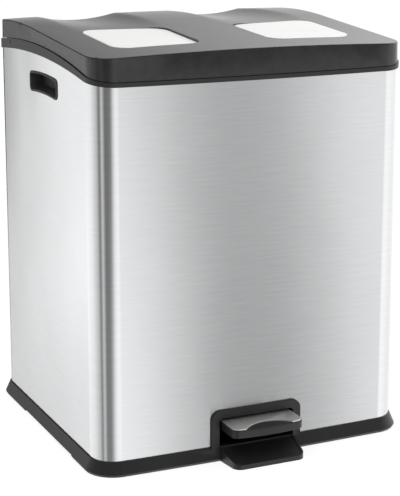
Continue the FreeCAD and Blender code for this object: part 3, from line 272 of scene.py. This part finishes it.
# Grey polypropylene, moulded: a plain mid grey, smoother than the outside
# parts so that it wipes clean. Its grain of 0.3 mm is drawn 1.2 mm.
grey_polypropylene, tree, surface = new_finish("grey_moulded_polypropylene", "5c5e61", 0.36)
add_grain(tree, surface, 1.2, 0.02, 0.25, ("595b5e", "606265"))
soften("bucket_left", grey_polypropylene, 0.0006)
soften("bucket_right", grey_polypropylene, 0.0006)
dress(["bail_grip_left", "bail_grip_right"], black_polypropylene)

# ------------------------------------------------------------ lid
# A dark grey moulding with a raised land round two scooped wells. It turns on
# two steel pins in the collar, and a flat liner closes its underside.

# Dark grey polypropylene, moulded in a finer tool than the base: smoother,
# so the wells take long soft reflections. Its grain of 0.15 mm is drawn 1.4 mm.
lid_polypropylene, tree, surface = new_finish("dark_grey_moulded_polypropylene", "232325", 0.26)
add_grain(tree, surface, 1.4, 0.06, 0.8, ("1f1f21", "28282a"), 12.0)
lid = soften("lid_shell", lid_polypropylene, 0.0002, flat=0.01, cut=0.008)

# The lid's top is one flowing surface. Its height is measured every 4 mm, except
# in the panels' pockets, and each corner is shaded by the plane that fits the
# heights round it.
step = 0.004
pocket_margin = 0.003
nearly_level = 0.9
above_lid = 2.0
fewest_heights = 10
same_surface = 0.005
corners = [corner.co for corner in lid.data.vertices]
solid = BVHTree.FromPolygons(corners, [face.vertices for face in lid.data.polygons])
left, front = min(c.x for c in corners), min(c.y for c in corners)
columns, rows = int((max(c.x for c in corners) - left) / step), int((max(c.y for c in corners) - front) / step)
pockets = []
for name in ("lid_panel_left", "lid_panel_right"):
    rim = [corner.co for corner in nodes[name].data.vertices]
    pockets.append((min(c.x for c in rim) - pocket_margin, max(c.x for c in rim) + pocket_margin,
                    min(c.y for c in rim) - pocket_margin, max(c.y for c in rim) + pocket_margin))
heights = {}
for column in range(columns + 1):
    for row in range(rows + 1):
        x, y = left + column * step, front + row * step
        met, upright, face, way = solid.ray_cast((x, y, above_lid), (0.0, 0.0, -1.0))
        if met and upright.z > nearly_level and not any(w < x < e and n < y < f for w, e, n, f in pockets):
            heights[column, row] = (x, y, met.z)
level_faces = [face for face in lid.data.polygons if face.normal.z > nearly_level]
upward = {}
for corner in {end for face in level_faces for end in face.vertices}:
    x, y, z = lid.data.vertices[corner].co
    column, row = round((x - left) / step), round((y - front) / step)
    near = [heights[column + i, row + j] for i in range(-2, 3) for j in range(-2, 3)
            if (column + i, row + j) in heights]
    if len(near) >= fewest_heights and all(abs(height - z) < same_surface for a, b, height in near):
        slope = numpy.linalg.lstsq([[a, b, 1.0] for a, b, c in near], [c for a, b, c in near], rcond=None)[0]
        upward[corner] = Vector((-slope[0], -slope[1], 1.0)).normalized()
shading = [normal.vector.copy() for normal in lid.data.corner_normals]
for face in level_faces:
    for loop in face.loop_indices:
        shading[loop] = upward.get(lid.data.loops[loop].vertex_index, shading[loop])
lid.data.normals_split_custom_set(shading)
dress(["lid_liner"], black_polypropylene)

# ------------------------------------------------------------ lid panels
# Two white plates laid in pockets in the wells, where a household puts its
# own labels; left bare here.

# White ABS, moulded: a clean white with a semi-gloss skin, very slightly
# uneven as thick mouldings are.
white_abs, tree, surface = new_finish("white_moulded_abs", "f1f1ef", 0.34)
add_grain(tree, surface, 6.0, 0.02, 0.3, ("f0f0ee", "f3f3f1"))
dress(["lid_panel_left", "lid_panel_right"], white_abs)

# ------------------------------------------------------------ studio floor
# A round sheet of pale card under the bin. It keeps the bin's shadow, and the
# camera sees the rest of it as white.
floor_radius = 14.0
floor_corners = 64
floor_mesh = bpy.data.meshes.new("studio_floor")
turns = [corner * 2 * math.pi / floor_corners for corner in range(floor_corners)]
floor_mesh.from_pydata([(floor_radius * math.cos(turn), floor_radius * math.sin(turn), 0.0) for turn in turns], [],
                       [list(range(floor_corners))])
studio_floor = bpy.data.objects.new("studio_floor", floor_mesh)
bpy.context.scene.collection.objects.link(studio_floor)
studio_floor.visible_glossy = False
card, tree, surface = new_finish("white_card", "f4f4f4", 0.9, specular=0.0)
ray = add_node(tree, "ShaderNodeLightPath")
glow_share = add_node(tree, "ShaderNodeMath", {"operation": "MULTIPLY", 1: 0.75}, {0: ray.outputs["Is Camera Ray"]})
glow = add_node(tree, "ShaderNodeEmission", {"Strength": 1.12})
both = add_node(tree, "ShaderNodeMixShader", {}, {0: glow_share.outputs[0], 1: surface.outputs[0], 2: glow.outputs[0]})
tree.links.new(both.outputs[0], tree.nodes["Material Output"].inputs["Surface"])
floor_mesh.materials.append(card)

# ------------------------------------------------------------ studio light
# The room that gloss reflects: pale walls all round, with dark screens that give
# the steel its upright streaks. Each level lists azimuths and the wall's strength
# there: 0 is straight ahead of the bin's front, 90 its right, -90 its left.
low_level = [(-180, 0.62), (-161.4, 0.68), (-159.2, 1.2), (-110, 1.05), (-84, 0.72), (-71, 0.32), (-61, 0.75),
             (-48, 0.26), (-30, 0.32), (-10, 1.14), (5, 1.3), (19, 1.3), (25.2, 0.46), (29.6, 0.46), (36, 1.16),
             (50, 1.35), (90, 1.15), (180, 1.1)]
mid_level = [(-180, 0.5), (-162.2, 0.6), (-160.4, 1.55), (-120, 1.4), (-84, 0.76), (-70, 0.26), (-58, 0.8),
             (-45, 0.25), (-22, 0.28), (-4, 1.2), (6, 1.38), (19, 1.28), (24.4, 0.57), (29.8, 0.57), (36, 1.2),
             (50, 1.4), (90, 1.2), (180, 1.15)]
eye_level = [(-180, 0.0), (-162.9, 0.0), (-161.7, 1.28), (-158, 1.15), (-115, 1.17), (-84, 0.7), (-70, 0.15),
             (-57, 0.82), (-44, 0.18), (-18, 0.18), (-5, 1.0), (4, 1.25), (18.5, 1.08), (23.2, 0.6), (27.4, 0.62),
             (32, 1.05), (36, 1.18), (50, 1.4), (90, 1.2), (140, 1.3), (180, 1.2)]
high_level = [(-180, 0.1), (-155, 0.12), (-90, 0.2), (-60, 0.3), (55, 0.35), (95, 1.6), (140, 1.7), (147, 1.3),
              (152, 0.98), (156, 0.78), (159, 0.62), (162, 0.46), (165, 0.22), (170, 0.1), (180, 0.1)]
brightest = 1.8
world = bpy.data.worlds.new("white_studio")
bpy.context.scene.world = world
world.use_nodes = True
tree = world.node_tree
place = add_node(tree, "ShaderNodeTexCoord")
split = add_node(tree, "ShaderNodeSeparateXYZ", {}, {"Vector": place.outputs["Generated"]})
ahead = add_node(tree, "ShaderNodeMath", {"operation": "MULTIPLY", 1: -1.0}, {0: split.outputs["Y"]})
azimuth = add_node(tree, "ShaderNodeMath", {"operation": "ARCTAN2"}, {0: split.outputs["X"], 1: ahead.outputs[0]})
turn = add_node(tree, "ShaderNodeMapRange", {"From Min": -math.pi, "From Max": math.pi}, {"Value": azimuth.outputs[0]})
room = None
for stops, low, high in ((low_level, 0.0, 0.0), (mid_level, -0.325, -0.25), (eye_level, -0.25, -0.17),
                         (high_level, 0.0, 0.12)):
    ring = add_node(tree, "ShaderNodeValToRGB", {}, {"Fac": turn.outputs["Result"]})
    while len(ring.color_ramp.elements) < len(stops):
        ring.color_ramp.elements.new(0.5)
    for stop, (degrees, strength) in zip(ring.color_ramp.elements, stops):
        stop.position = (degrees + 180.0) / 360.0
    for stop, (degrees, strength) in zip(ring.color_ramp.elements, stops):
        stop.color = [strength / brightest] * 3 + [1.0]
    if room is None:
        room = ring.outputs["Color"]
    else:
        rise = add_node(tree, "ShaderNodeMapRange", {"From Min": low, "From Max": high}, {"Value": split.outputs["Z"]})
        blend = add_node(tree, "ShaderNodeMixRGB", {}, {0: rise.outputs["Result"], 1: room, 2: ring.outputs["Color"]})
        room = blend.outputs["Color"]
mirrored = add_node(tree, "ShaderNodeBackground", {"Strength": brightest}, {"Color": room})
ray = add_node(tree, "ShaderNodeLightPath")
seen = add_node(tree, "ShaderNodeMath", {"operation": "MAXIMUM"},
                {0: ray.outputs["Is Camera Ray"], 1: ray.outputs["Is Transmission Ray"]})
level = add_node(tree, "ShaderNodeMapRange", {"To Min": 0.8, "To Max": 1.0}, {"Value": seen.outputs[0]})
plain = tree.nodes["Background"]
plain.inputs["Color"].default_value = (1.0, 1.0, 1.0, 1.0)
tree.links.new(level.outputs["Result"], plain.inputs["Strength"])
both = add_node(tree, "ShaderNodeMixShader", {}, {0: ray.outputs["Is Glossy Ray"], 1: plain.outputs[0],
                                                 2: mirrored.outputs[0]})
tree.links.new(both.outputs[0], tree.nodes["World Output"].inputs["Surface"])

# One large soft lamp over the bin's left front gives the floor its faint shadow.
lamp_data = bpy.data.lights.new("soft_box", "AREA")
lamp_data.shape = "DISK"
lamp_data.size = 2.0
lamp_data.energy = 30.0
lamp = bpy.data.objects.new("soft_box", lamp_data)
bpy.context.scene.collection.objects.link(lamp)
lamp.location = (-1.3, -1.2, 3.2)
lamp.rotation_euler = (math.radians(22.0), math.radians(-22.0), 0.0)
lamp.visible_glossy = False

# ------------------------------------------------------------ camera
# It stands ahead of the bin and to its left, a little above the lid, as the
# photograph's did. The small shift keeps the bin's sides nearly upright. Focal
# length and shift are in pixels of the 400 by 496 frame.
frame_height = 496.0
focal_length = 1535.0
shift = -54.0
film_side = 36.0
camera_data = bpy.data.cameras.new("camera")
camera_data.sensor_fit = "AUTO"
camera_data.sensor_width = film_side
camera_data.lens = focal_length / frame_height * film_side
camera_data.shift_y = shift / frame_height
camera = bpy.data.objects.new("camera", camera_data)
bpy.context.scene.collection.objects.link(camera)
bpy.context.scene.camera = camera
camera.location = (-0.9673, -2.1031, 0.8465)
camera.rotation_euler = (math.pi / 2 - 0.2101, 0.0, -0.4311)

bpy.context.scene.view_settings.view_transform = "Standard"

bpy.context.view_layer.update()
